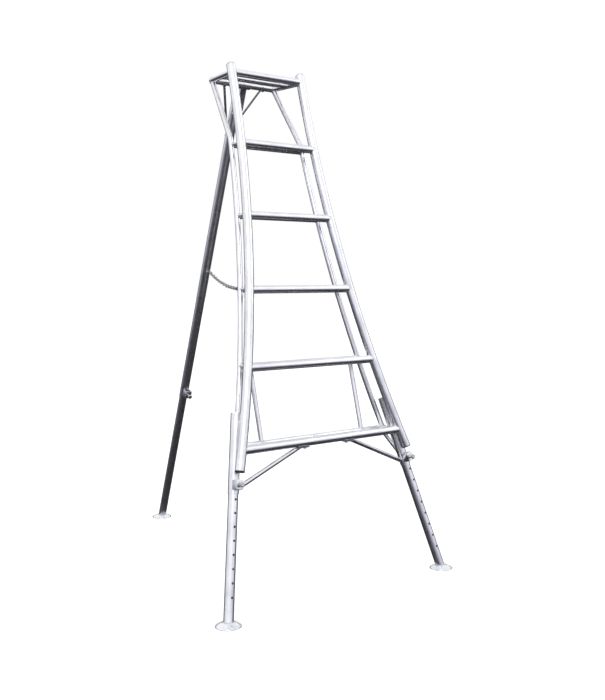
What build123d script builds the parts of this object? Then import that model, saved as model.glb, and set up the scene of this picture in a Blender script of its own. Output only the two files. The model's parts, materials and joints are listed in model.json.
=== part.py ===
"""Three-legged orchard ladder: bowed tube stiles, double-tube treads, a top frame, two
telescopic front legs and a folding, telescopic rear leg tied back by a chain.

Millimetres. +Z is up and the feet stand on Z = 0. +X is the climber's right when facing
the treads, and +Y points from the treads to the rear leg.
"""
import os
from math import asin, atan2, cos, degrees, radians, sin, sqrt

from build123d import *

FROM_BASE = (Align.CENTER, Align.CENTER, Align.MIN)

# Levels and overall shape
RISE = 300.0                 # from one tread to the next
LEVELS = 5                   # treads below the top frame
LEVEL_1_Z = 600.0            # lowest tread with the front legs fully out
TOP_Z = LEVEL_1_Z + RISE * LEVELS
LEAN = radians(14.75)        # slope of the stiles from upright
TOP_Y = -237.0               # front bar of the top frame
TOP_HALF = 179.0             # half width between the stile axes at the top
BOW_RADIUS = 5500.0          # bend of the stiles, tangent to upright at the top

# Tubes: outer diameter, with one wall for all of them
WALL = 2.0
STILE_D = 38.0
STILE_ABOVE = 30.0           # stile left standing above the top bar
STILE_BELOW = 73.0           # stile left hanging below the lowest tread
CAP_BAND = 3.0
CAP_SQUASH = 0.42
PLUG_HEAD = 4.0
PLUG_STEM = 14.0
PLUG_SLACK = 0.4
FRONT_TUBE_D = 32.0
REAR_TUBE_D = 25.0
TREAD_DEPTH = 80.0           # front tube to rear tube
REAR_STILE_D = 22.0
BEND_SWELL = 0.8             # extra thickness of the knuckle at that turn
REAR_TUBE_PAST = 13.0        # lowest rear tube beyond the rear stiles' axes
REAR_HALF = 177.0            # half width between the rear stiles' axes at the top
REAR_BOW_RADIUS = 6100.0     # their bend, a little flatter than the main stiles'
REAR_BEND_UP = 26.0          # where they turn back to the top frame, above the fifth tread
LINK_D = 20.0
SIDE_LINK_D = 14.0
SIDE_LINK_IN = 2.0
STRUT_D = 18.0
STRUT_X = 257.0
END_LINK_X = 366.0           # outermost links of the lowest tread

# Top frame
FRAME_DEPTH = 185.0
CORNER_X = 161.0
SIDE_BAR_D = 25.0
MID_BAR_D = 24.0
REAR_BAR_D = 28.0

# Front legs and their sleeves
SLEEVE_D = 42.0
SLEEVE_WALL = 1.7
LEG_D = 38.0
LEG_BEHIND = 41.5            # sleeve axis behind the stile plane
LEG_X_AT_LEVEL_1 = 408.0
LEG_X_AT_FLOOR = 541.0
SLEEVE_TOP_Z = 730.0
SLEEVE_END_Z = 443.0
LEG_TOP_Z = 715.0
HOLE_D = 9.0
HOLE_PITCH = 50.0
FRONT_PIN_Z = 470.0
HOLES_BELOW_PIN = 8
LUG_ZS = (603.0, 688.0)
LUG_WIDTH = 12.0
LUG_HEIGHT = 30.0

# Rear leg
POLE_D = 42.0
POLE_WALL = 1.7
POLE_BEHIND = 36.0           # its axis passes behind the bar it turns on
POLE_ABOVE = 16.0            # its top above the bar's level, along the pole
POLE_END = 1545.0            # its lower end, along the pole from the hinge
LOWER_D = 38.0
LOWER_START = 1245.0
REAR_PIN_AT = 1520.0
HINGE_BORE = REAR_BAR_D + 0.16
HINGE_D = 36.0
HINGE_LENGTH = 64.0
CHEEK_X = 14.0
CHEEK_FRONT = 8.0
CHEEK_LENGTH = 110.0
CHEEK_TAPER = 40.0
CHEEK_THICK = 4.0
STRAP_X = 100.0
STRAP_DOWN = 240.0
STRAP_WIDTH = 10.0
STRAP_THICK = 4.0
STRAP_RING = 14.0
STRAP_GAP = 0.1
EYE_AT = 876.0

# Feet
FOOT_R = 49.0
FOOT_RISE = 17.0
FOOT_THICK = 3.0

# Lock: bracket, pin and spring, measured along the pin from the leg's axis
PIN_D = 8.0
PIN_FIT = 0.05
PIN_DRAW = 10.0
BRACKET_WIDTH = 30.0
BRACKET_REACH = 47.0
BRACKET_SHEET = 3.0
BRACKET_BELOW_PIN = 15.0
BRACKET_ABOVE_PIN = 21.0
TIP_CLEAR = 1.0
TIP_CHAMFER = 1.0
COLLAR_CLEAR = 0.3
COLLAR_D = 14.0
COLLAR_THICK = 3.0
KNOB_D = 20.0
KNOB_LENGTH = 9.0
KNOB_CLEAR = 0.5
KNOB_ROUND = 2.0
SPRING_WIRE = 1.2
SPRING_D = 12.0
SPRING_TURNS = 5.0
SPRING_GAP = 0.1

# Braces below the lowest tread
LONG_BRACE_D = 18.0
LONG_BRACE_X = 143.0
LONG_BRACE_RUN_ON = 0.1      # share of its length carried past the tab, then cut flat
TAB_LENGTH = 52.0
TAB_THICK = 4.0
TAB_WIDTH = 26.0
TAB_BOLT_X = 106.0
BRACE_END_Z = 452.0
SHORT_BRACE_D = 16.0
SHORT_BRACE_X = 363.0
SHORT_BRACE_END_Z = 468.0
BOLT_D = 8.0
BOLT_HEAD_D = 14.0
BOLT_HEAD = 5.0
BOLT_SLACK = 0.2

# Chain
WIRE = 4.0
LINK_INNER_WIDTH = 7.0
LINK_SLACK = 0.6
CHAIN_LINKS = (9, 8, 8)
CHAIN_SAG = 14.0
EYE_REACH = 34.0
ANCHOR_REACH = 24.0
EYE_WIRE = 5.0
EYE_HALF = 9.0
ANCHOR_HALF = 8.0
ANCHOR_ABOVE = 9.0           # above the third tread
CHAIN_TWIST = (-10.4, 11.4, 0.2)   # degrees from link to link, in each stretch

DOWN = Vector(0, -sin(LEAN), -cos(LEAN))
BACK = Vector(0, cos(LEAN), -sin(LEAN))
TOP = Vector(0, TOP_Y, TOP_Z)
X = Vector(1, 0, 0)


# Places

def slope_at(z, behind=0.0):
    """Distance down the slope of a point at height z, behind the stile plane."""
    return (TOP_Z - z - behind * sin(LEAN)) / cos(LEAN)


def stile_x(slope):
    return TOP_HALF + BOW_RADIUS - sqrt(BOW_RADIUS**2 - slope**2)


def rear_stile_x(slope):
    return REAR_HALF + REAR_BOW_RADIUS - sqrt(REAR_BOW_RADIUS**2 - slope**2)


def level_z(level):
    return LEVEL_1_Z + RISE * (level - 1)


def stile_point(z):
    slope = slope_at(z)
    return TOP + X * stile_x(slope) + DOWN * slope


def rear_stile_point(z):
    slope = slope_at(z)
    return TOP + X * rear_stile_x(slope) + DOWN * slope + Vector(0, TREAD_DEPTH, 0)


def leg_point(z):
    slope = slope_at(z, LEG_BEHIND)
    low, high = slope_at(0, LEG_BEHIND), slope_at(LEVEL_1_Z)
    share = (slope - high) / (low - high)
    x = LEG_X_AT_LEVEL_1 + (LEG_X_AT_FLOOR - LEG_X_AT_LEVEL_1) * share
    return TOP + X * x + DOWN * slope + BACK * LEG_BEHIND


HINGE = Vector(0, TOP_Y + FRAME_DEPTH, TOP_Z)
REAR_FOOT = Vector(0, -leg_point(0).Y, 0)
HINGE_TO_FOOT = REAR_FOOT - HINGE
POLE_ANGLE = atan2(HINGE_TO_FOOT.Y, -HINGE_TO_FOOT.Z) - asin(POLE_BEHIND / HINGE_TO_FOOT.length)
POLE_DOWN = Vector(0, sin(POLE_ANGLE), -cos(POLE_ANGLE))
POLE_FRONT = Vector(0, -cos(POLE_ANGLE), -sin(POLE_ANGLE))
LEG_DOWN = (leg_point(0) - leg_point(LEG_TOP_Z)).normalized()


def pole_point(distance, front=0.0):
    return HINGE + POLE_DOWN * distance + POLE_FRONT * (front - POLE_BEHIND)


# Shapes

def rod(start, end, diameter):
    plane = Plane(origin=start, z_dir=end - start)
    return extrude(plane * Circle(diameter / 2), (end - start).length)


def tube(start, end, diameter, wall=WALL):
    plane = Plane(origin=start, z_dir=end - start)
    ring = Circle(diameter / 2) - Circle(diameter / 2 - wall)
    return extrude(plane * ring, (end - start).length)


def ball(centre, diameter):
    return Pos(*centre) * Sphere(diameter / 2)


def bowed(profile, first, last, half, radius, behind=0.0):
    """A profile carried along a stile's bend, between two distances down the slope."""
    shift = Vector(0, behind, 0)
    centre = TOP + X * (half + radius) + shift
    start_angle = asin(first / radius)
    start = centre - X * radius * cos(start_angle) + DOWN * first
    along = X * sin(start_angle) + DOWN * cos(start_angle)
    turn = asin(last / radius) - start_angle
    spin = (start - centre).cross(along)
    plane = Plane(origin=start, z_dir=along)
    return revolve(plane * profile, axis=Axis(centre, spin), revolution_arc=degrees(turn))


def both(right):
    return Compound(children=[right, mirror(right, about=Plane.YZ)])


def group(shapes):
    return Compound(children=list(shapes))


def save(name, shape):
    export_step(shape, f"parts/{name}.step")


def save_pair(name, right):
    save(f"right_{name}", right)
    save(f"left_{name}", mirror(right, about=Plane.YZ))


# Stiles

def stile_profile(filled):
    outer = Circle(STILE_D / 2)
    return outer if filled else outer - Circle(STILE_D / 2 - WALL)


def stile(filled=False):
    last = slope_at(LEVEL_1_Z) + STILE_BELOW
    return bowed(stile_profile(filled), -STILE_ABOVE, last, TOP_HALF, BOW_RADIUS)


def rear_stile(filled=False):
    """Bent tube: bowed below the fifth tread, straight above it to the top frame."""
    bend_z = level_z(5) + REAR_BEND_UP
    bend = rear_stile_point(bend_z)
    first, last = slope_at(bend_z), slope_at(LEVEL_1_Z)

    def run(diameter):
        lower = bowed(Circle(diameter / 2), first, last, REAR_HALF, REAR_BOW_RADIUS, TREAD_DEPTH)
        return lower + rod(bend, corner(), diameter) + ball(bend, diameter + BEND_SWELL)

    outer = run(REAR_STILE_D)
    return outer if filled else outer - run(REAR_STILE_D - 2 * WALL)


def stile_cap():
    """Domed cap closing the top of a stile."""
    slope = -STILE_ABOVE
    seat = TOP + X * stile_x(slope) + DOWN * slope
    band = Cylinder(STILE_D / 2, CAP_BAND, align=FROM_BASE)
    above = Box(2 * STILE_D, 2 * STILE_D, 2 * STILE_D, align=FROM_BASE)
    dome = scale(Sphere(STILE_D / 2), by=(1, 1, CAP_SQUASH)) & above
    return Plane(origin=seat, z_dir=DOWN * -1) * (band + Pos(0, 0, CAP_BAND) * dome)


def stile_plug():
    """Plastic plug in the cut end of a stile."""
    slope = slope_at(LEVEL_1_Z) + STILE_BELOW
    angle = asin(slope / BOW_RADIUS)
    along = X * sin(angle) + DOWN * cos(angle)
    seat = TOP + X * stile_x(slope) + DOWN * slope
    head = rod(seat, seat + along * PLUG_HEAD, STILE_D)
    stem = rod(seat - along * PLUG_STEM, seat, STILE_D - 2 * WALL - PLUG_SLACK)
    return head + stem


# Treads

def front_tube(level):
    """Front tube of a tread, coped onto both stiles."""
    end = stile_point(level_z(level))
    bar = tube(Vector(-end.X, end.Y, end.Z), end, FRONT_TUBE_D)
    return bar - STILE_SOLID - STILE_SOLID_LEFT


def rear_tube(level):
    """Rear tube of a tread, coped onto both rear stiles; the lowest one runs past them."""
    end = rear_stile_point(level_z(level))
    if level == 1:
        end = end + X * REAR_TUBE_PAST
    bar = tube(Vector(-end.X, end.Y, end.Z), end, REAR_TUBE_D)
    return bar if level == 1 else bar - REAR_SOLID - REAR_SOLID_LEFT


def front_solid(level):
    end = stile_point(level_z(level))
    return rod(Vector(-end.X, end.Y, end.Z), end, FRONT_TUBE_D)


def rear_solid(level):
    end = rear_stile_point(level_z(level)) + X * REAR_TUBE_PAST
    return rod(Vector(-end.X, end.Y, end.Z), end, REAR_TUBE_D)


def cross_link(level, x):
    """Short tube between the two tubes of a tread."""
    front = stile_point(level_z(level))
    start = Vector(x, front.Y, front.Z)
    link = tube(start, start + Vector(0, TREAD_DEPTH, 0), LINK_D)
    return link - front_solid(level) - rear_solid(level) - STILE_SOLID - STILE_SOLID_LEFT


def cross_links():
    places = [(1, x) for x in (-END_LINK_X, -STRUT_X, STRUT_X, END_LINK_X)]
    places += [(level, 0.0) for level in range(1, LEVELS + 1)]
    return group(cross_link(level, x) for level, x in places)


def side_link(level):
    """Short tube from a stile back to its rear stile, set inward to clear the sliding leg."""
    z = level_z(level)
    inward = X * SIDE_LINK_IN
    link = tube(stile_point(z) - inward, rear_stile_point(z) - inward, SIDE_LINK_D) - STILE_SOLID - REAR_SOLID
    return link - front_solid(level) - rear_solid(level)


def side_links():
    right = [side_link(level) for level in range(2, LEVELS + 1)]
    return group(right + [mirror(link, about=Plane.YZ) for link in right])


def strut():
    """Upright tube from the second tread's rear tube to the lowest tread's."""
    ends = []
    for level in (1, 2):
        rear = rear_stile_point(level_z(level))
        ends.append(Vector(STRUT_X, rear.Y, rear.Z))
    return tube(ends[0], ends[1], STRUT_D) - rear_solid(1) - rear_solid(2)


# Top frame

def corner(side=1):
    return Vector(side * CORNER_X, HINGE.Y, TOP_Z)


def rear_bar_solid():
    bar = rod(corner(-1), corner(1), REAR_BAR_D)
    return bar + ball(corner(-1), REAR_BAR_D) + ball(corner(1), REAR_BAR_D)


def rear_bar():
    inner = REAR_BAR_D - 2 * WALL
    return rear_bar_solid() - rod(corner(-1), corner(1), inner)


def front_bar():
    end = stile_point(TOP_Z)
    bar = tube(Vector(-end.X, end.Y, end.Z), end, FRONT_TUBE_D)
    return bar - STILE_SOLID - STILE_SOLID_LEFT


def side_bar(filled=False):
    start = stile_point(TOP_Z)
    if filled:
        return rod(start, corner(), SIDE_BAR_D)
    front_bar_solid = rod(start, Vector(0, start.Y, start.Z), FRONT_TUBE_D)
    return tube(start, corner(), SIDE_BAR_D) - STILE_SOLID - rear_bar_solid() - front_bar_solid


def mid_bar():
    middle = (stile_point(TOP_Z) + corner()) * 0.5
    bar = tube(Vector(-middle.X, middle.Y, middle.Z), middle, MID_BAR_D)
    side = side_bar(filled=True)
    return bar - side - mirror(side, about=Plane.YZ)


# Front legs

def sleeve(filled=False):
    top, end = leg_point(SLEEVE_TOP_Z), leg_point(SLEEVE_END_Z)
    if filled:
        return rod(end, top, SLEEVE_D)
    pin = leg_point(FRONT_PIN_Z)
    return tube(end, top, SLEEVE_D, SLEEVE_WALL) - rod(pin, pin - BACK * SLEEVE_D, HOLE_D)


def sleeve_lug(z):
    """Weld block between a stile and its sleeve."""
    a, b = stile_point(z), leg_point(z)
    plane = Plane(origin=(a + b) * 0.5, x_dir=b - a, z_dir=DOWN)
    block = plane * Box((b - a).length, LUG_WIDTH, LUG_HEIGHT)
    return block - STILE_SOLID - SLEEVE_SOLID


def sleeve_lugs():
    right = [sleeve_lug(z) for z in LUG_ZS]
    return group(right + [mirror(lug, about=Plane.YZ) for lug in right])


def foot_dome(inset=0.0):
    """Dome of the foot, filled, centred on the origin with its rim on the floor."""
    radius = (FOOT_R**2 + FOOT_RISE**2) / (2 * FOOT_RISE)
    cap = Pos(0, 0, FOOT_RISE - radius) * Sphere(radius - inset)
    return cap & Box(4 * radius, 4 * radius, 2 * radius, align=FROM_BASE)


def seated(bar, place):
    """A leg tube cut to sit on the dome of its foot."""
    below = Pos(0, 0, -FOOT_R) * Box(4 * FOOT_R, 4 * FOOT_R, 2 * FOOT_R)
    return bar - Pos(place.X, place.Y, 0) * (foot_dome() + below)


def foot(place):
    return Pos(place.X, place.Y, 0) * (foot_dome() - foot_dome(FOOT_THICK))


def drilled(shape, first, step, front, count):
    """Holes through both walls of a leg tube."""
    for number in range(count):
        at = first + step * number
        shape = shape - rod(at - front * LEG_D, at + front * LEG_D, HOLE_D)
    return shape


def leg_tube():
    bar = seated(tube(leg_point(0), leg_point(LEG_TOP_Z), LEG_D), leg_point(0))
    first = leg_point(FRONT_PIN_Z)
    return drilled(bar, first, LEG_DOWN * HOLE_PITCH, BACK * -1, HOLES_BELOW_PIN + 1)


# Locks, in a frame with local Z out along the pin and local Y up the leg

def lock_plane(at, up, front):
    return Plane(origin=at, x_dir=up.cross(front), z_dir=front)


def lock_bracket(sleeve_d):
    """Channel standing on the front of a sleeve, bored for the pin."""
    height = BRACKET_BELOW_PIN + BRACKET_ABOVE_PIN
    middle = Pos(0, (BRACKET_ABOVE_PIN - BRACKET_BELOW_PIN) / 2, 0)
    outer = middle * Box(BRACKET_WIDTH, height, BRACKET_REACH, align=FROM_BASE)
    inside = BRACKET_WIDTH - 2 * BRACKET_SHEET
    inner = middle * Box(inside, 2 * height, BRACKET_REACH - BRACKET_SHEET, align=FROM_BASE)
    tube_hole = Rot(90, 0, 0) * Cylinder(sleeve_d / 2, 4 * height)
    bore = Cylinder(PIN_D / 2 + PIN_FIT, 4 * BRACKET_REACH)
    return outer - inner - tube_hole - bore


def collar_base(sleeve_d):
    return sleeve_d / 2 + COLLAR_CLEAR + PIN_DRAW


def lock_pin(sleeve_d, leg_d):
    """Plunger drawn clear of the leg, with its collar and pull knob."""
    tip = leg_d / 2 + TIP_CLEAR
    knob = BRACKET_REACH + KNOB_CLEAR + PIN_DRAW
    stem = Pos(0, 0, tip) * Cylinder(PIN_D / 2, knob - tip, align=FROM_BASE)
    stem = chamfer(stem.edges().sort_by(Axis.Z)[0], TIP_CHAMFER)
    ring = Pos(0, 0, collar_base(sleeve_d)) * Cylinder(COLLAR_D / 2, COLLAR_THICK, align=FROM_BASE)
    head = Pos(0, 0, knob) * Cylinder(KNOB_D / 2, KNOB_LENGTH, align=FROM_BASE)
    head = fillet(head.edges().filter_by(GeomType.CIRCLE), KNOB_ROUND)
    return stem + ring + head


def lock_spring(sleeve_d):
    clear = SPRING_WIRE / 2 + SPRING_GAP
    low = collar_base(sleeve_d) + COLLAR_THICK + clear
    high = BRACKET_REACH - BRACKET_SHEET - clear
    path = Helix((high - low) / SPRING_TURNS, high - low, (SPRING_D - SPRING_WIRE) / 2)
    profile = Plane(origin=path @ 0, z_dir=path % 0) * Circle(SPRING_WIRE / 2)
    return Pos(0, 0, low) * sweep(profile, path=path, is_frenet=True)


# Braces

def long_brace():
    """Tube from a flattened tab under the lowest tread to the sleeve's foot."""
    tread = stile_point(LEVEL_1_Z)
    tab_z = LEVEL_1_Z - FRONT_TUBE_D / 2 - TAB_THICK / 2
    tab_x = LONG_BRACE_X - TAB_LENGTH / 2
    tab = Pos(tab_x, tread.Y, tab_z) * Box(TAB_LENGTH, TAB_WIDTH, TAB_THICK)
    under = tab_z - TAB_THICK / 2
    end = leg_point(BRACE_END_Z)
    root = Vector(LONG_BRACE_X, tread.Y, under)
    above = Pos(*root) * Box(4 * TAB_LENGTH, 4 * TAB_WIDTH, 2 * TAB_WIDTH, align=FROM_BASE)
    bar = tube(root + (root - end) * LONG_BRACE_RUN_ON, end, LONG_BRACE_D) - above
    hole = Pos(TAB_BOLT_X, tread.Y, tab_z) * Cylinder(BOLT_D / 2, 3 * TAB_THICK)
    return bar + tab - hole - SLEEVE_SOLID


def brace_bolt():
    """Bolt up through the tab into the tread, with its head below."""
    tread = stile_point(LEVEL_1_Z)
    under = Pos(TAB_BOLT_X, tread.Y, LEVEL_1_Z - FRONT_TUBE_D / 2 - TAB_THICK)
    head = Pos(0, 0, -BOLT_HEAD) * extrude(RegularPolygon(BOLT_HEAD_D / 2, 6), BOLT_HEAD)
    stem = Cylinder((BOLT_D - BOLT_SLACK) / 2, TAB_THICK, align=FROM_BASE)
    return under * (head + stem)


def short_brace():
    """Tube from the lowest tread's rear tube to the sleeve."""
    rear = rear_stile_point(LEVEL_1_Z)
    start = Vector(SHORT_BRACE_X, rear.Y, rear.Z)
    bar = tube(start, leg_point(SHORT_BRACE_END_Z), SHORT_BRACE_D)
    link_start = Vector(END_LINK_X, rear.Y - TREAD_DEPTH, rear.Z)
    link = rod(link_start, link_start + Vector(0, TREAD_DEPTH, 0), LINK_D)
    return bar - rear_solid(1) - SLEEVE_SOLID - link


# Rear leg

def hinge_sleeve(filled=False):
    half = X * (HINGE_LENGTH / 2)
    outer = rod(HINGE - half, HINGE + half, HINGE_D)
    return outer if filled else outer - rod(HINGE - half, HINGE + half, HINGE_BORE)


def pole_solid():
    return rod(pole_point(-POLE_ABOVE), pole_point(POLE_END), POLE_D)


def pole():
    """Upper tube, its closed top welded to the back of the sleeve it turns on."""
    inside = rod(pole_point(POLE_WALL - POLE_ABOVE), pole_point(POLE_END), POLE_D - 2 * POLE_WALL)
    pin = pole_point(REAR_PIN_AT)
    hole = rod(pin, pin + POLE_FRONT * POLE_D, HOLE_D)
    return pole_solid() - inside - hinge_sleeve(filled=True) - hole


def hinge_cheek(side):
    """Plate from the hinge sleeve down the front of the pole."""
    front = HINGE + POLE_FRONT * CHEEK_FRONT + X * (side * CHEEK_X)
    behind = pole_point(0) + X * (side * CHEEK_X)
    lower = front + POLE_DOWN * CHEEK_LENGTH
    toe = behind + POLE_DOWN * (CHEEK_LENGTH + CHEEK_TAPER)
    outline = Polyline(tuple(front), tuple(lower), tuple(toe), tuple(behind), close=True)
    plate = extrude(make_face(outline), CHEEK_THICK / 2, dir=(1, 0, 0), both=True)
    return plate - pole_solid() - hinge_sleeve(filled=True)


def hinge():
    return hinge_sleeve() + hinge_cheek(-1) + hinge_cheek(1)


def lower_tube():
    bar = seated(tube(pole_point(LOWER_START), REAR_FOOT, LOWER_D), REAR_FOOT)
    first = pole_point(REAR_PIN_AT)
    return drilled(bar, first, POLE_DOWN * HOLE_PITCH, POLE_FRONT, HOLES_BELOW_PIN + 1)


def behind_pole(layer):
    """Distance behind the pole's axis of the middle of a strap's lower end."""
    return POLE_D / 2 + STRAP_THICK * (layer + 0.5) + STRAP_GAP * (layer + 1)


def strap(side, layer):
    """Flat strap from a ring on the rear bar to the bolt behind the pole."""
    top = HINGE + X * (side * STRAP_X)
    end = pole_point(STRAP_DOWN, -behind_pole(layer))
    along = end - top
    face = along.cross(POLE_FRONT).cross(along)
    flat = Plane(origin=(top + end) * 0.5, x_dir=along, z_dir=face)
    bar = flat * Box(along.length + STRAP_WIDTH, STRAP_WIDTH, STRAP_THICK)
    half = X * (STRAP_RING / 2)
    ring = rod(top - half, top + half, HINGE_D)
    hole = rod(end - POLE_FRONT * POLE_D, end + POLE_FRONT * POLE_D, BOLT_D)
    return bar + ring - rod(top - half * 4, top + half * 4, HINGE_BORE) - hole - pole_solid()


def strap_bolt():
    """Bolt that holds both straps to the pole."""
    start = pole_point(STRAP_DOWN, -POLE_D / 2 - STRAP_GAP)
    under_head = pole_point(STRAP_DOWN, STRAP_THICK / 2 - behind_pole(2))
    plane = Plane(origin=under_head, z_dir=POLE_FRONT * -1)
    head = plane * extrude(RegularPolygon(BOLT_HEAD_D / 2, 6), BOLT_HEAD)
    return rod(start, under_head, BOLT_D - BOLT_SLACK) + head


# Chain

def staple(root, out, across, reach, half_width):
    """Bent-wire eye standing on a tube: two legs and a crossbar."""
    bar = root + out * reach
    corners = [bar - across * half_width, bar + across * half_width]
    shape = rod(corners[0], corners[1], EYE_WIRE)
    for point in corners:
        shape = shape + ball(point, EYE_WIRE) + rod(point - out * reach, point, EYE_WIRE)
    return shape


CHORD_START = pole_point(EYE_AT, EYE_REACH)
ANCHOR_Z = level_z(3) + ANCHOR_ABOVE
ANCHOR_STILE = Vector(-rear_stile_point(ANCHOR_Z).X, rear_stile_point(ANCHOR_Z).Y, ANCHOR_Z)
CHORD_END = ANCHOR_STILE + BACK * ANCHOR_REACH
CHORD = CHORD_END - CHORD_START
LEVEL_AXIS = CHORD.cross(Vector(0, 0, 1)).normalized()


def chain_run(pitch):
    """Lengths of the chain's three stretches, from pivot to pivot."""
    first = CHAIN_LINKS[0] * pitch + (WIRE - EYE_WIRE) / 2
    last = CHAIN_LINKS[2] * pitch - WIRE / 2 - EYE_WIRE / 2 - LINK_SLACK
    return first, CHAIN_LINKS[1] * pitch, last


def chain_angles(pitch):
    first, _, last = chain_run(pitch)
    droop = asin(CHAIN_SAG / first)
    return droop, asin(first * sin(droop) / last)


def chain_pitch():
    """Pitch at which the sagging chain just reaches from eye to anchor."""
    pitch = CHORD.length / sum(CHAIN_LINKS)
    for _ in range(30):
        first, middle, last = chain_run(pitch)
        droop, lift = chain_angles(pitch)
        pitch *= CHORD.length / (first * cos(droop) + middle + last * cos(lift))
    return pitch


def turned(direction, angle):
    return direction.rotate(Axis((0, 0, 0), LEVEL_AXIS), degrees(angle))


def chain_link(centre, along, normal, pitch):
    """Oval wire link with its long axis along the chain."""
    bend = (LINK_INNER_WIDTH + WIRE) / 2
    half = (pitch + LINK_SLACK - LINK_INNER_WIDTH) / 2
    wire = Circle(WIRE / 2)
    side = extrude(Plane(origin=(-half, bend, 0), z_dir=(1, 0, 0)) * wire, 2 * half)
    end = revolve(Plane(origin=(half, -bend, 0), z_dir=(1, 0, 0)) * wire,
                  axis=Axis((half, 0, 0), (0, 0, 1)), revolution_arc=180)
    loop = side + mirror(side, about=Plane.XZ) + end + mirror(end, about=Plane.YZ)
    return Plane(origin=centre, x_dir=along, z_dir=normal) * loop


def chain_groups():
    """The links in three stretches, each turned a quarter and a little more from the last."""
    pitch = chain_pitch()
    droop, lift = chain_angles(pitch)
    chord = CHORD.normalized()
    directions = [turned(chord, -droop), chord, turned(chord, lift)]
    leads = [(pitch - LINK_SLACK - EYE_WIRE) / 2] + [(pitch - LINK_SLACK - WIRE) / 2] * 2
    start = CHORD_START
    turn = 0.0
    groups = []
    for along, lead, count, twist in zip(directions, leads, CHAIN_LINKS, CHAIN_TWIST):
        links = []
        for number in range(count):
            centre = start + along * (lead + pitch * number)
            normal = LEVEL_AXIS.rotate(Axis((0, 0, 0), along), turn)
            links.append(chain_link(centre, along, normal, pitch))
            turn += 90 + twist
        groups.append(group(links))
        start = centre + along * (pitch + LINK_SLACK + WIRE) / 2
    return groups


STILE_SOLID = stile(filled=True)
STILE_SOLID_LEFT = mirror(STILE_SOLID, about=Plane.YZ)
REAR_SOLID = rear_stile(filled=True)
REAR_SOLID_LEFT = mirror(REAR_SOLID, about=Plane.YZ)
SLEEVE_SOLID = sleeve(filled=True)


def save_frame():
    save_pair("stile", stile())
    save("stile_caps", both(stile_cap()))
    save("stile_end_plugs", both(stile_plug()))
    save_pair("rear_stile", rear_stile() - rear_solid(1) - rear_bar_solid() - side_bar(filled=True))
    for level in range(1, LEVELS + 1):
        save(f"tread_{level}_front_tube", front_tube(level))
        save(f"tread_{level}_rear_tube", rear_tube(level))
    save("tread_cross_links", cross_links())
    save("side_links", side_links())
    save_pair("strut", strut())
    save("top_front_bar", front_bar())
    save("top_mid_bar", mid_bar())
    save("top_rear_bar", rear_bar())
    save_pair("top_side_bar", side_bar())
    save_pair("leg_sleeve", sleeve())
    save("sleeve_lugs", sleeve_lugs())
    save_pair("long_brace", long_brace())
    save_pair("short_brace", short_brace())
    save("brace_bolts", both(brace_bolt()))
    anchor = staple(ANCHOR_STILE, BACK, X, ANCHOR_REACH, ANCHOR_HALF)
    save("chain_anchor", anchor - REAR_SOLID_LEFT - rear_solid(3))


def save_front_legs():
    save_pair("leg_tube", leg_tube())
    save_pair("foot", foot(leg_point(0)))
    plane = lock_plane(leg_point(FRONT_PIN_Z), LEG_DOWN * -1, BACK * -1)
    save_pair("lock_bracket", plane * lock_bracket(SLEEVE_D))
    save_pair("lock_pin", plane * lock_pin(SLEEVE_D, LEG_D))
    save_pair("lock_spring", plane * lock_spring(SLEEVE_D))


def save_rear_leg():
    save("rear_leg_hinge_sleeve", hinge())
    save("rear_leg_upper_tube", pole())
    save("rear_leg_lower_tube", lower_tube())
    save("rear_foot", foot(REAR_FOOT))
    under = strap(-1, 0)
    over = strap(1, 1) - under
    save("left_strap", under)
    save("right_strap", over)
    save("strap_bolt", strap_bolt() - under - over)
    save("chain_eye", staple(pole_point(EYE_AT), POLE_FRONT, X, EYE_REACH, EYE_HALF) - pole_solid())
    plane = lock_plane(pole_point(REAR_PIN_AT), POLE_DOWN * -1, POLE_FRONT)
    save("rear_lock_bracket", plane * lock_bracket(POLE_D))
    save("rear_lock_pin", plane * lock_pin(POLE_D, LOWER_D))
    save("rear_lock_spring", plane * lock_spring(POLE_D))


def save_chain():
    for name, links in zip(("leg_end", "middle", "ladder_end"), chain_groups()):
        save(f"chain_{name}", links)


os.makedirs("parts", exist_ok=True)
save_frame()
save_front_legs()
save_rear_leg()
save_chain()
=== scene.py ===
"""Looks for the orchard tripod ladder: bare aluminium tubes, weld beads, pressed feet, locks and chain.

Metres, in the CAD frame: +Z up, +X to the climber's right, +Y towards the rear leg.
"""
import json
from math import asin, cos, pi, radians, sin, sqrt

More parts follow.
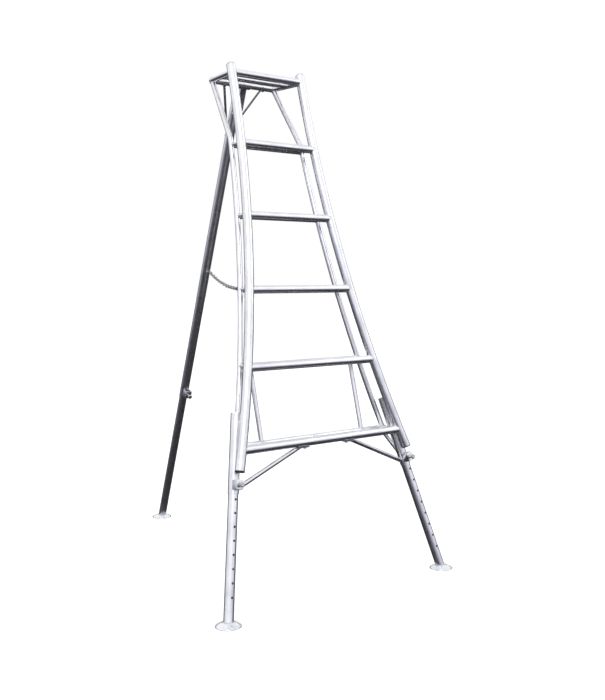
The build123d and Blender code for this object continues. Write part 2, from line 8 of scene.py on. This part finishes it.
import bmesh
import bpy
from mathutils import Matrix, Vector

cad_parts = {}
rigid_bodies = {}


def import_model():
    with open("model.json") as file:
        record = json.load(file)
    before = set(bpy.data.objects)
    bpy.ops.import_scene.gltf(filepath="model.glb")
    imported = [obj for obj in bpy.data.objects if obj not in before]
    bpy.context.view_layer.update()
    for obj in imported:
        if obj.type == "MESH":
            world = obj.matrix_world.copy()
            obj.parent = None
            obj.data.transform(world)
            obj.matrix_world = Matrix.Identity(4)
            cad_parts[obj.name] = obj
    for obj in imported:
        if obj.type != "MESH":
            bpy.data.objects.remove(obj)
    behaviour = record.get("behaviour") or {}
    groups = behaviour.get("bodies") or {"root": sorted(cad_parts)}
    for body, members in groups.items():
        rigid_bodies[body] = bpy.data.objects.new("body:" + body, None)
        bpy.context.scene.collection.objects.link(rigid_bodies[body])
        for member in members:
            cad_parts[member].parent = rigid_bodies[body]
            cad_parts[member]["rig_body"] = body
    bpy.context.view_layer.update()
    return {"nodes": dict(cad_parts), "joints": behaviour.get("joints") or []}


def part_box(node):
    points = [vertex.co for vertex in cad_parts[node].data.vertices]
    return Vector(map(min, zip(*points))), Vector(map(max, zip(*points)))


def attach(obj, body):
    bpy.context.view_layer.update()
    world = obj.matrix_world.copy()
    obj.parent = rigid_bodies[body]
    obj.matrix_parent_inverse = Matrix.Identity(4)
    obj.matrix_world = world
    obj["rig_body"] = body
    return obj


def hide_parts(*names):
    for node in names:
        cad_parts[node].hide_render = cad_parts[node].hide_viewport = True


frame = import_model()

# Driving sizes, as in the CAD model
LEAN = radians(14.75)
TOP_HALF = 0.179
BOW_RADIUS = 5.5
REAR_HALF = 0.177
REAR_BOW_RADIUS = 6.1
LEVELS = [0.6 + 0.3 * number for number in range(5)]
TREAD_DEPTH = 0.08
REAR_BEND_UP = 0.026
STILE_R = 0.019
FRONT_TUBE_R = 0.016
REAR_TUBE_R = 0.0125
REAR_STILE_R = 0.011
LINK_R = 0.010
SIDE_LINK_R = 0.007
SIDE_LINK_IN = 0.002
STRUT_R = 0.009
STRUT_X = 0.257
END_LINK_X = 0.366
SIDE_BAR_R = 0.0125
MID_BAR_R = 0.012
REAR_BAR_R = 0.014
SLEEVE_R = 0.021
LEG_R = 0.019
FRONT_PIN_Z = 0.470
REAR_PIN_AT = 1.520
POLE_BEHIND = 0.036
BRACE_END_Z = 0.452
SHORT_BRACE_X = 0.363
LONG_BRACE_X = 0.143
SHORT_BRACE_END_Z = 0.468
LONG_BRACE_R = 0.009
SHORT_BRACE_R = 0.008
FOOT_R = 0.049
FOOT_RISE = 0.017
FOOT_WALL = 0.003
FOOT_FLUTES = 16
DISH_SPHERE = (FOOT_R**2 + FOOT_RISE**2) / (2 * FOOT_RISE)
PIN_R = 0.004
PIN_TIP = LEG_R + 0.001
COLLAR_AT = SLEEVE_R + 0.0103
BRACKET_REACH = 0.047
KNOB_AT = BRACKET_REACH + 0.0105
KNOB_FLUTES = 24
KNOB_FLUTE_DEPTH = 0.0007
CAP_SEAT_UP = 0.030
CAP_R = 0.0177
CAP_BRIM_HEIGHT = 0.0032
CAP_HEIGHT = 0.0109
TAB_BELOW_TOP = 0.004
BEAD_R = 0.0019
FOOT_BEAD_R = 0.0024
BEAD_RIPPLE = 0.13
BEAD_SIDES = 6
SMOOTH_BELOW = radians(32)
BEVEL_ABOVE = radians(40)
VIEW_AHEAD = (0.605, 0.796, 0.0)

TOP_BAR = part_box("top_front_bar")
TOP_Z = (TOP_BAR[0].z + TOP_BAR[1].z) / 2
TOP = Vector((0, (TOP_BAR[0].y + TOP_BAR[1].y) / 2, TOP_Z))
REAR_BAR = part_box("top_rear_bar")
HINGE = Vector((0, (REAR_BAR[0].y + REAR_BAR[1].y) / 2, TOP_Z))
CORNER = Vector((REAR_BAR[1].x - REAR_BAR_R, HINGE.y, TOP_Z))
DOWN = Vector((0, -sin(LEAN), -cos(LEAN)))
BACK = Vector((0, cos(LEAN), -sin(LEAN)))
X = Vector((1, 0, 0))
Y = Vector((0, 1, 0))
UP = Vector((0, 0, 1))
SLIDES = {joint["name"]: Vector(joint["axis"]).normalized() for joint in frame["joints"]}
LEG_ALONG = SLIDES["right_leg_slide"]
REAR_ALONG = SLIDES["rear_leg_slide"]
REAR_FRONT = Vector((0, REAR_ALONG.z, -REAR_ALONG.y))


# Camera, lights and floor

def make_camera():
    yaw, pitch, roll = radians(37.24), radians(-3.15), radians(0.18)
    data = bpy.data.cameras.new("camera")
    data.sensor_width = 36.0
    data.lens = 46.55
    data.shift_y = -0.028
    camera = bpy.data.objects.new("camera", data)
    camera.location = (-2.250, -3.4405, 1.235)
    camera.rotation_euler = (pi / 2 + pitch, roll, -yaw)
    bpy.context.scene.collection.objects.link(camera)
    bpy.context.scene.camera = camera


def trees(tree, coords, parts, ramp):
    """The dome darkened low down beyond the object, which gives every tube thin dark edges."""
    nodes, links = tree.nodes, tree.links
    facing = nodes.new("ShaderNodeVectorMath")
    facing.operation = "DOT_PRODUCT"
    facing.inputs[1].default_value = VIEW_AHEAD
    near = nodes.new("ShaderNodeMapRange")
    height = nodes.new("ShaderNodeMapRange")
    for node, start, end in ((near, 0.20, 0.56), (height, 0.36, 0.14)):
        node.interpolation_type = "SMOOTHSTEP"
        node.inputs["From Min"].default_value = start
        node.inputs["From Max"].default_value = end
    both = nodes.new("ShaderNodeMath")
    both.operation = "MULTIPLY"
    mix = nodes.new("ShaderNodeMix")
    mix.data_type = "RGBA"
    first, second = [socket for socket in mix.inputs if socket.type == "RGBA"]
    second.default_value = (0.045, 0.045, 0.05, 1)
    links.new(coords.outputs["Generated"], facing.inputs[0])
    links.new(facing.outputs["Value"], near.inputs["Value"])
    links.new(parts.outputs["Z"], height.inputs["Value"])
    links.new(near.outputs["Result"], both.inputs[0])
    links.new(height.outputs["Result"], both.inputs[1])
    links.new(both.outputs[0], mix.inputs["Factor"])
    links.new(ramp.outputs["Color"], first)
    return [socket for socket in mix.outputs if socket.type == "RGBA"][0]


def make_world():
    """Bright soft dome above a darker ground, as metal sees it; plain white behind the object."""
    world = bpy.data.worlds.new("studio")
    bpy.context.scene.world = world
    world.use_nodes = True
    nodes, links = world.node_tree.nodes, world.node_tree.links
    nodes.clear()
    out = nodes.new("ShaderNodeOutputWorld")
    mix = nodes.new("ShaderNodeMixShader")
    plain = nodes.new("ShaderNodeBackground")
    plain.inputs["Color"].default_value = (1, 1, 1, 1)
    dome = nodes.new("ShaderNodeBackground")
    ray = nodes.new("ShaderNodeLightPath")
    coords = nodes.new("ShaderNodeTexCoord")
    parts = nodes.new("ShaderNodeSeparateXYZ")
    spread = nodes.new("ShaderNodeMapRange")
    spread.inputs["From Min"].default_value = -1.0
    ramp = nodes.new("ShaderNodeValToRGB")
    stops = [
        (0.0, (0.026, 0.026, 0.023)),
        (0.38, (0.034, 0.034, 0.036)),
        (0.43, (0.09, 0.09, 0.13)),
        (0.47, (0.30, 0.31, 0.42)),
        (0.505, (0.74, 0.77, 0.88)),
        (0.56, (0.97, 0.98, 1.0)),
        (1.0, (1.0, 1.0, 1.0)),
    ]
    while len(ramp.color_ramp.elements) < len(stops):
        ramp.color_ramp.elements.new(0.5)
    for element, (place, colour) in zip(ramp.color_ramp.elements, stops):
        element.position = place
        element.color = (*colour, 1)
    dome.inputs["Strength"].default_value = 1.05
    links.new(coords.outputs["Generated"], parts.inputs[0])
    links.new(parts.outputs["Z"], spread.inputs["Value"])
    links.new(spread.outputs["Result"], ramp.inputs["Fac"])
    links.new(trees(world.node_tree, coords, parts, ramp), dome.inputs["Color"])
    links.new(ray.outputs["Is Camera Ray"], mix.inputs["Fac"])
    links.new(dome.outputs[0], mix.inputs[1])
    links.new(plain.outputs[0], mix.inputs[2])
    links.new(mix.outputs[0], out.inputs["Surface"])


def make_light(name, place, target, size, power, colour=(1, 1, 1)):
    data = bpy.data.lights.new(name, "AREA")
    data.shape = "DISK"
    data.size = size
    data.energy = power
    data.color = colour
    light = bpy.data.objects.new(name, data)
    light.location = place
    light.rotation_euler = (Vector(target) - Vector(place)).to_track_quat("-Z", "Y").to_euler()
    bpy.context.scene.collection.objects.link(light)


def make_floor():
    """Pale round floor; the metal's reflections see the dome's dark ground instead."""
    mesh = bpy.data.meshes.new("floor")
    shape = bmesh.new()
    bmesh.ops.create_circle(shape, cap_ends=True, segments=96, radius=60)
    shape.to_mesh(mesh)
    shape.free()
    floor = bpy.data.objects.new("floor", mesh)
    bpy.context.scene.collection.objects.link(floor)
    floor.visible_glossy = False
    floor.visible_diffuse = False
    material = bpy.data.materials.new("floor")
    material.use_nodes = True
    shader = material.node_tree.nodes["Principled BSDF"]
    shader.inputs["Base Color"].default_value = (0.96, 0.96, 0.96, 1)
    shader.inputs["Roughness"].default_value = 0.9
    shader.inputs["Specular IOR Level"].default_value = 0.1
    shader.inputs["Emission Color"].default_value = (1, 1, 1, 1)
    shader.inputs["Emission Strength"].default_value = 0.25
    mesh.materials.append(material)


# Materials

class Nodes:
    """A material's node tree, with short ways to add and join nodes."""

    def __init__(self, name):
        self.material = bpy.data.materials.new(name)
        self.material.use_nodes = True
        self.tree = self.material.node_tree
        self.shader = self.tree.nodes["Principled BSDF"]
        self.coords = self.tree.nodes.new("ShaderNodeTexCoord").outputs["Object"]

    def join(self, source, target):
        self.tree.links.new(source, target)

    def mapped(self, along, stretch):
        """Object coordinates turned so that one axis runs along the piece, and squeezed along it."""
        turn = self.tree.nodes.new("ShaderNodeMapping")
        turn.vector_type = "TEXTURE"
        turn.inputs["Rotation"].default_value = Vector(along).to_track_quat("Z", "Y").to_euler()
        squeeze = self.tree.nodes.new("ShaderNodeMapping")
        squeeze.inputs["Scale"].default_value = (1, 1, stretch)
        self.join(self.coords, turn.inputs["Vector"])
        self.join(turn.outputs[0], squeeze.inputs["Vector"])
        return squeeze.outputs[0]

    def noise(self, vector, scale, detail=4.0, rough=0.55):
        node = self.tree.nodes.new("ShaderNodeTexNoise")
        node.inputs["Scale"].default_value = scale
        node.inputs["Detail"].default_value = detail
        node.inputs["Roughness"].default_value = rough
        self.join(vector, node.inputs["Vector"])
        return node.outputs["Fac"]

    def remap(self, value, low, high, new_low, new_high):
        node = self.tree.nodes.new("ShaderNodeMapRange")
        ends = (("From Min", low), ("From Max", high), ("To Min", new_low), ("To Max", new_high))
        for name, number in ends:
            node.inputs[name].default_value = number
        self.join(value, node.inputs["Value"])
        return node.outputs["Result"]

    def math(self, kind, a, b):
        node = self.tree.nodes.new("ShaderNodeMath")
        node.operation = kind
        for socket, value in zip(node.inputs, (a, b)):
            if isinstance(value, (int, float)):
                socket.default_value = value
            else:
                self.join(value, socket)
        return node.outputs[0]

    def blend(self, factor, a, b):
        """Colour a where the factor is 0 and colour b where it is 1."""
        node = self.tree.nodes.new("ShaderNodeMix")
        node.data_type = "RGBA"
        self.join(factor, node.inputs["Factor"])
        for name, value in (("A", a), ("B", b)):
            socket = [s for s in node.inputs if s.name == name and s.type == "RGBA"][0]
            if isinstance(value, tuple):
                socket.default_value = (*value, 1)
            else:
                self.join(value, socket)
        return [s for s in node.outputs if s.type == "RGBA"][0]

    def bump(self, height, strength, distance):
        node = self.tree.nodes.new("ShaderNodeBump")
        node.inputs["Strength"].default_value = strength
        node.inputs["Distance"].default_value = distance
        self.join(height, node.inputs["Height"])
        self.join(node.outputs["Normal"], self.shader.inputs["Normal"])


def aluminium(name, along, bright=(0.90, 0.90, 0.93), dull=(0.72, 0.72, 0.77), low=0.22, high=0.38):
    """Drawn tube: streaks along its length, cloudy oxide, a few scuffs."""
    mat = Nodes(name)
    mat.shader.inputs["Metallic"].default_value = 1.0
    streaks = mat.noise(mat.mapped(along, 0.012), 420, 3.0, 0.6)
    clouds = mat.noise(mat.coords, 14, 5.0, 0.6)
    scuffs = mat.remap(mat.noise(mat.mapped(along, 0.25), 95, 6.0, 0.75), 0.60, 0.70, 0.0, 1.0)
    mixed = mat.math("MULTIPLY", streaks, 0.45)
    mixed = mat.math("ADD", mixed, mat.math("MULTIPLY", clouds, 0.55))
    colour = mat.blend(mat.remap(mixed, 0.38, 0.62, 0.0, 1.0), bright, dull)
    colour = mat.blend(mat.math("MULTIPLY", scuffs, 0.35), colour, (0.55, 0.55, 0.58))
    mat.join(colour, mat.shader.inputs["Base Color"])
    rough = mat.math("ADD", mat.remap(mixed, 0.35, 0.65, low, high), mat.math("MULTIPLY", scuffs, 0.10))
    mat.join(rough, mat.shader.inputs["Roughness"])
    mat.bump(mat.math("ADD", streaks, mat.math("MULTIPLY", scuffs, 0.4)), 0.12, 0.0004)
    return mat.material


def plated(name, colour, dark, low=0.28, high=0.5):
    """Zinc-plated steel: fine speckle, darker in patches."""
    mat = Nodes(name)
    mat.shader.inputs["Metallic"].default_value = 1.0
    speckle = mat.noise(mat.coords, 900, 3.0, 0.6)
    patches = mat.noise(mat.coords, 120, 5.0, 0.65)
    mixed = mat.math("ADD", mat.math("MULTIPLY", speckle, 0.4), mat.math("MULTIPLY", patches, 0.6))
    mat.join(mat.blend(mat.remap(mixed, 0.4, 0.64, 0.0, 1.0), colour, dark), mat.shader.inputs["Base Color"])
    mat.join(mat.remap(mixed, 0.35, 0.65, low, high), mat.shader.inputs["Roughness"])
    mat.bump(speckle, 0.15, 0.0002)
    return mat.material


def weld_metal(name):
    """Bright weld bead, darker in sooty patches of a fine grain."""
    mat = Nodes(name)
    mat.shader.inputs["Metallic"].default_value = 1.0
    grain = mat.noise(mat.coords, 700, 4.0, 0.7)
    mat.join(mat.blend(mat.remap(grain, 0.35, 0.7, 0.0, 1.0), (0.86, 0.86, 0.88), (0.46, 0.46, 0.48)),
             mat.shader.inputs["Base Color"])
    mat.join(mat.remap(grain, 0.3, 0.7, 0.3, 0.55), mat.shader.inputs["Roughness"])
    mat.bump(grain, 0.3, 0.0004)
    return mat.material


def moulded(name, colour, light):
    """Moulded plastic with a fine spark-eroded grain."""
    mat = Nodes(name)
    grain = mat.noise(mat.coords, 1800, 2.0, 0.5)
    dust = mat.noise(mat.coords, 60, 5.0, 0.6)
    mat.join(mat.blend(mat.remap(dust, 0.45, 0.75, 0.0, 1.0), colour, light), mat.shader.inputs["Base Color"])
    mat.join(mat.remap(dust, 0.3, 0.7, 0.42, 0.62), mat.shader.inputs["Roughness"])
    mat.bump(grain, 0.2, 0.0002)
    return mat.material


# Shapes

def finished(name, shape, material, body, stands_for=()):
    """The mesh as a piece of the ladder that moves with a body."""
    bmesh.ops.recalc_face_normals(shape, faces=shape.faces)
    mesh = bpy.data.meshes.new(name)
    shape.to_mesh(mesh)
    shape.free()
    mesh.materials.append(material)
    mesh.shade_smooth()
    mesh.set_sharp_from_angle(angle=SMOOTH_BELOW)
    piece = bpy.data.objects.new(name, mesh)
    bpy.context.scene.collection.objects.link(piece)
    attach(piece, body)
    if stands_for:
        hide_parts(*stands_for)
    return piece


def bevelled(node, width, material):
    """A CAD node's own shape with its sharp edges rolled over."""
    source = frame["nodes"][node]
    shape = bmesh.new()
    shape.from_mesh(source.data)
    bmesh.ops.remove_doubles(shape, verts=shape.verts, dist=1e-6)
    bmesh.ops.dissolve_limit(shape, angle_limit=radians(1), verts=shape.verts, edges=shape.edges)
    inner = [edge for edge in shape.edges if len(edge.link_faces) == 2]
    sharp = [edge for edge in inner if edge.calc_face_angle() > BEVEL_ABOVE]
    bmesh.ops.bevel(shape, geom=sharp, offset=width, segments=2, profile=0.6,
                    affect="EDGES", clamp_overlap=True)
    finished(node + "_edged", shape, material, source["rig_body"], (node,))


def skin(shape, rows):
    """Faces between rows of as many vertices each, closed at both ends."""
    count = len(rows[0])
    for low, high in zip(rows, rows[1:]):
        for number in range(count):
            after = (number + 1) % count
            shape.faces.new((low[number], low[after], high[after], high[number]))
    shape.faces.new(rows[0][::-1])
    shape.faces.new(rows[-1])


def lathe(shape, place, axis, profile, count, flutes=0, depth=0.0):
    """Closed solid of revolution; rows with a True third value carry flutes around them."""
    side = axis.orthogonal().normalized()
    other = axis.cross(side)
    rows = []
    for radius, height, fluted in profile:
        row = []
        for number in range(count):
            turn = 2 * pi * number / count
            reach = radius - (depth * abs(sin(turn * flutes / 2)) if fluted else 0)
            out = side * cos(turn) + other * sin(turn)
            row.append(shape.verts.new(place + axis * height + out * reach))
        rows.append(row)
    skin(shape, rows)


# Places

def on_stile(z):
    slope = (TOP_Z - z) / cos(LEAN)
    angle = asin(slope / BOW_RADIUS)
    x = TOP_HALF + BOW_RADIUS * (1 - cos(angle))
    return TOP + X * x + DOWN * slope, X * sin(angle) + DOWN * cos(angle)


def on_rear_stile(z):
    slope = (TOP_Z - z) / cos(LEAN)
    angle = asin(slope / REAR_BOW_RADIUS)
    x = REAR_HALF + REAR_BOW_RADIUS * (1 - cos(angle))
    return TOP + X * x + DOWN * slope + Y * TREAD_DEPTH, X * sin(angle) + DOWN * cos(angle)


def foot_place(node):
    low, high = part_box(node)
    return Vector(((low.x + high.x) / 2, (low.y + high.y) / 2, 0))


def leg_point(z):
    return foot_place("right_foot") + LEG_ALONG * (z / LEG_ALONG.z)


def pole_point(distance):
    return HINGE - REAR_FRONT * POLE_BEHIND + REAR_ALONG * distance


def flipped(vector):
    return Vector((-vector.x, vector.y, vector.z))


# Weld beads: each joint is (point on the branch's axis, way it runs, radius, then the same of the main tube)

def tread_joints(z, lowest):
    front, front_way = on_stile(z)
    rear, rear_way = on_rear_stile(z)
    yield Vector((0, front.y, z)), X, FRONT_TUBE_R, front, front_way, STILE_R
    for x in (0, STRUT_X, END_LINK_X) if lowest else (0,):
        middle = Vector((x, (front.y + rear.y) / 2, z))
        yield middle, -Y, LINK_R, Vector((x, front.y, z)), X, FRONT_TUBE_R
        yield middle, Y, LINK_R, Vector((x, rear.y, z)), X, REAR_TUBE_R
    if lowest:
        yield rear - rear_way * 0.05, rear_way, REAR_STILE_R, rear, X, REAR_TUBE_R
        return
    yield Vector((0, rear.y, z)), X, REAR_TUBE_R, rear, rear_way, REAR_STILE_R
    way = (rear - front).normalized()
    middle = (rear + front) / 2 - X * SIDE_LINK_IN
    yield middle, -way, SIDE_LINK_R, front, front_way, STILE_R
    yield middle, way, SIDE_LINK_R, rear, rear_way, REAR_STILE_R


def top_joints():
    stile, stile_way = on_stile(TOP_Z)
    yield Vector((0, TOP.y, TOP_Z)), X, FRONT_TUBE_R, stile, stile_way, STILE_R
    way = (CORNER - stile).normalized()
    middle = (CORNER + stile) / 2
    yield middle, -way, SIDE_BAR_R, stile, stile_way, STILE_R
    yield middle, way, SIDE_BAR_R, CORNER, X, REAR_BAR_R
    yield Vector((0, middle.y, TOP_Z)), X, MID_BAR_R, middle, way, SIDE_BAR_R
    bend = on_rear_stile(LEVELS[4] + REAR_BEND_UP)[0]
    rise = (CORNER - bend).normalized()
    yield bend + rise * 0.1, rise, REAR_STILE_R, CORNER, X, REAR_BAR_R


def brace_joints():
    rear = on_rear_stile(LEVELS[0])[0]
    upper = on_rear_stile(LEVELS[1])[0]
    foot, head = Vector((STRUT_X, rear.y, rear.z)), Vector((STRUT_X, upper.y, upper.z))
    way = (head - foot).normalized()
    yield (foot + head) / 2, way, STRUT_R, head, X, REAR_TUBE_R
    yield (foot + head) / 2, -way, STRUT_R, foot, X, REAR_TUBE_R
    start, end = Vector((SHORT_BRACE_X, rear.y, rear.z)), leg_point(SHORT_BRACE_END_Z)
    way = (end - start).normalized()
    yield (start + end) / 2, -way, SHORT_BRACE_R, start, X, REAR_TUBE_R
    yield (start + end) / 2, way, SHORT_BRACE_R, end, LEG_ALONG, SLEEVE_R
    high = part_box("right_long_brace")[1]
    start = Vector((LONG_BRACE_X, on_stile(LEVELS[0])[0].y, high.z - TAB_BELOW_TOP))
    end = leg_point(BRACE_END_Z)
    way = (end - start).normalized()
    yield (start + end) / 2, way, LONG_BRACE_R, end, LEG_ALONG, SLEEVE_R


def loop(shape, ring, thick):
    """Closed rippled bead along a ring of points, each with its outward direction."""
    count = len(ring)
    rows = []
    for number, (point, out) in enumerate(ring):
        run = (ring[(number + 1) % count][0] - ring[number - 1][0]).normalized()
        flat = run.cross(out).normalized()
        size = thick * (1 + BEAD_RIPPLE * sin(number * pi / 2))
        rows.append([shape.verts.new(point + (out * cos(turn) + flat * sin(turn)) * size)
                     for turn in [2 * pi * step / BEAD_SIDES for step in range(BEAD_SIDES)]])
    for number, row in enumerate(rows):
        after = rows[(number + 1) % count]
        for step in range(BEAD_SIDES):
            beside = (step + 1) % BEAD_SIDES
            shape.faces.new((row[step], row[beside], after[beside], after[step]))


def bead(shape, start, way, radius, main, main_way, main_radius, count=64):
    """Rippled bead around the mouth of a branch tube where it meets the main tube."""
    side = way.orthogonal().normalized()
    other = way.cross(side)
    across = way - main_way * way.dot(main_way)
    ring = []
    for number in range(count):
        turn = 2 * pi * number / count
        out = side * cos(turn) + other * sin(turn)
        begin = start + out * radius
        off = begin - main
        off -= main_way * off.dot(main_way)
        a, b, c = across.dot(across), across.dot(off), off.dot(off) - main_radius**2
        point = begin + way * ((-b - sqrt(max(b * b - a * c, 0))) / a)
        away = point - main
        away -= main_way * away.dot(main_way)
        ring.append((point, (out + away.normalized()).normalized()))
    loop(shape, ring, BEAD_R)


def frame_beads(material):
    shape = bmesh.new()
    joints = [joint for z in LEVELS for joint in tread_joints(z, z == LEVELS[0])]
    joints += list(top_joints()) + list(brace_joints())
    for start, way, radius, main, main_way, main_radius in joints:
        bead(shape, start, way, radius, main, main_way, main_radius)
        if abs(start.x) > 1e-6 or abs(way.x) > 1e-6:
            bead(shape, flipped(start), flipped(way), radius, flipped(main), flipped(main_way), main_radius)
    finished("frame_weld_beads", shape, material, "frame")


# Feet, pins, caps

def dome(radius, inset=0.0):
    """Height of the dish's skin at a distance from its middle."""
    return FOOT_RISE - DISH_SPHERE + sqrt((DISH_SPHERE - inset)**2 - radius**2)


def foot_row(shape, place, radius, height, cut=0.0, count=128):
    """Ring of vertices around a foot, dipped by cut along each flute."""
    row = []
    for number in range(count):
        turn = 2 * pi * number / count
        dip = cut * max(0.0, cos(FOOT_FLUTES * turn))**0.7
        row.append(shape.verts.new(place + Vector((radius * cos(turn), radius * sin(turn), height - dip))))
    return row


def foot(node, body, material, tube_way, bead_material):
    """Pressed dish with radial flutes and a rolled rim, welded around the foot of its tube."""
    place = foot_place(node)
    top = [0.006, 0.012, 0.018, 0.0225, 0.0245, 0.0265, 0.030, 0.034, 0.038, 0.0415, 0.0435, 0.0450]
    depth = {0.0265: 0.0012, 0.030: 0.0020, 0.034: 0.0022, 0.038: 0.0020, 0.0415: 0.0012}
    rim = [(0.0466, 0.0036), (0.0480, 0.0036), (0.0488, 0.0026),
           (0.0490, 0.0014), (0.0484, 0.0003), (0.0472, 0.0)]
    inner = [0.0448, 0.040, 0.034, 0.027, 0.020, 0.012, 0.006]
    shape = bmesh.new()
    rows = [foot_row(shape, place, radius, dome(radius), depth.get(radius, 0.0)) for radius in top]
    rows += [foot_row(shape, place, radius, height) for radius, height in rim]
    rows += [foot_row(shape, place, radius, max(dome(radius, FOOT_WALL), 0.0004), depth.get(radius, 0.0))
             for radius in inner]
    skin(shape, rows)
    finished(node + "_dish", shape, material, body, (node,))
    foot_bead(node, body, place, tube_way, bead_material)


def foot_bead(node, body, place, tube_way, material, count=96):
    """Bead where the leg's tube meets the dish's domed top."""
    centre = place + UP * (FOOT_RISE - DISH_SPHERE)
    side = tube_way.orthogonal().normalized()
    other = tube_way.cross(side)
    ring = []
    for number in range(count):
        turn = 2 * pi * number / count
        out = side * cos(turn) + other * sin(turn)
        begin = place - tube_way * 0.2 + out * LEG_R
        off = begin - centre
        along = off.dot(tube_way)
        point = begin + tube_way * (-along - sqrt(max(along**2 - off.dot(off) + DISH_SPHERE**2, 0)))
        ring.append((point, (out + (point - centre).normalized()).normalized()))
    shape = bmesh.new()
    loop(shape, ring, FOOT_BEAD_R)
    finished(node + "_weld_bead", shape, material, body)


def lock_pin(node, body, place, out, material):
    """Plunger with a stop collar and a fluted pull knob."""
    shape = bmesh.new()
    profile = [
        (0.0028, PIN_TIP, False),
        (PIN_R, PIN_TIP + 0.0012, False),
        (PIN_R, COLLAR_AT - 0.0002, False),
        (0.0064, COLLAR_AT, False),
        (0.0070, COLLAR_AT + 0.0006, False),
        (0.0070, COLLAR_AT + 0.0024, False),
        (0.0064, COLLAR_AT + 0.0030, False),
        (PIN_R, COLLAR_AT + 0.0031, False),
        (PIN_R, KNOB_AT - 0.0001, False),
        (0.0075, KNOB_AT, False),
        (0.0094, KNOB_AT + 0.0008, False),
        (0.0098, KNOB_AT + 0.0016, True),
        (0.0098, KNOB_AT + 0.0070, True),
        (0.0092, KNOB_AT + 0.0080, False),
        (0.0070, KNOB_AT + 0.0090, False),
        (0.0040, KNOB_AT + 0.0086, False),
    ]
    lathe(shape, place, out, profile, 120, KNOB_FLUTES, KNOB_FLUTE_DEPTH)
    finished(node + "_turned", shape, material, body, (node,))


def stile_caps(material):
    """Domed caps with a small brim."""
    shape = bmesh.new()
    angle = asin(-CAP_SEAT_UP / BOW_RADIUS)
    seat = TOP + X * (TOP_HALF + BOW_RADIUS * (1 - cos(angle))) - DOWN * CAP_SEAT_UP
    profile = [
        (0.0180, 0.0, False),
        (0.0190, 0.0003, False),
        (0.0190, 0.0022, False),
        (0.0186, 0.0026, False),
        (0.0180, 0.0028, False),
        (CAP_R, CAP_BRIM_HEIGHT, False),
    ]
    for step in range(1, 9):
        turn = pi / 2 * step / 9
        height = CAP_BRIM_HEIGHT + (CAP_HEIGHT - CAP_BRIM_HEIGHT) * sin(turn)
        profile.append((CAP_R * cos(turn), height, False))
    for place in (seat, flipped(seat)):
        lathe(shape, place, -DOWN, profile, 64)
    finished("stile_caps_brimmed", shape, material, "frame", ("stile_caps",))


make_camera()
make_world()
make_floor()
make_light("key", (-3.5, -5.0, 5.5), (0, -0.3, 1.2), 3.5, 90)
make_light("fill", (4.5, -3.0, 4.0), (0, 0, 1.0), 3.0, 25, (0.95, 0.97, 1.0))
bpy.context.scene.view_settings.view_transform = "Standard"

TUBE_ALONG = aluminium("aluminium_stiles", DOWN)
TUBE_ACROSS = aluminium("aluminium_treads", X)
TUBE_BACK = aluminium("aluminium_links", (0, 1, 0))
LEFT_LEG = aluminium("aluminium_left_leg", SLIDES["left_leg_slide"])
RIGHT_LEG = aluminium("aluminium_right_leg", LEG_ALONG)
REAR_LEG = aluminium("aluminium_rear_leg", REAR_ALONG)
FOOT = aluminium("aluminium_feet", (0, 0, 1), (0.92, 0.93, 0.95), (0.78, 0.80, 0.84), 0.16, 0.3)
STEEL = plated("zinc_plated", (0.70, 0.70, 0.69), (0.42, 0.42, 0.42))
CHAIN = plated("chain_zinc", (0.62, 0.62, 0.62), (0.30, 0.30, 0.31))
PLASTIC = moulded("black_plastic", (0.025, 0.025, 0.028), (0.07, 0.07, 0.075))


def node_material(node):
    if node.startswith("stile_"):
        return PLASTIC if node == "stile_end_plugs" else TUBE_ALONG
    if node.startswith("chain_"):
        return CHAIN
    if any(word in node for word in ("pin", "spring", "bolt")):
        return STEEL
    if node.endswith("foot"):
        return FOOT
    if node.startswith("rear_l") or node.endswith("strap"):
        return REAR_LEG
    if "leg_" in node or "lock_bracket" in node:
        return LEFT_LEG if node.startswith("left") else RIGHT_LEG
    if node.startswith("tread_") or node in ("top_front_bar", "top_mid_bar", "top_rear_bar"):
        return TUBE_ACROSS
    if node in ("side_links",) or "side_bar" in node:
        return TUBE_BACK
    return TUBE_ALONG


for node, shape in frame["nodes"].items():
    shape.data.materials.clear()
    shape.data.materials.append(node_material(node))

WELD = weld_metal("weld_metal")
CAP = moulded("grey_cap", (0.62, 0.62, 0.64), (0.74, 0.74, 0.75))
frame_beads(WELD)
stile_caps(CAP)
foot("left_foot", "left_leg", FOOT, SLIDES["left_leg_slide"], WELD)
foot("right_foot", "right_leg", FOOT, LEG_ALONG, WELD)
foot("rear_foot", "rear_leg_lower", FOOT, REAR_ALONG, WELD)
lock_pin("right_lock_pin", "right_lock", leg_point(FRONT_PIN_Z), -BACK, STEEL)
lock_pin("left_lock_pin", "left_lock", flipped(leg_point(FRONT_PIN_Z)), -BACK, STEEL)
lock_pin("rear_lock_pin", "rear_lock", pole_point(REAR_PIN_AT), REAR_FRONT, STEEL)
for node in ("left_lock_bracket", "right_lock_bracket", "rear_lock_bracket"):
    bevelled(node, 0.0009, node_material(node))
for node in ("left_strap", "right_strap"):
    bevelled(node, 0.0007, REAR_LEG)
bevelled("sleeve_lugs", 0.0012, TUBE_ALONG)
bevelled("brace_bolts", 0.0006, STEEL)
bevelled("strap_bolt", 0.0006, STEEL)
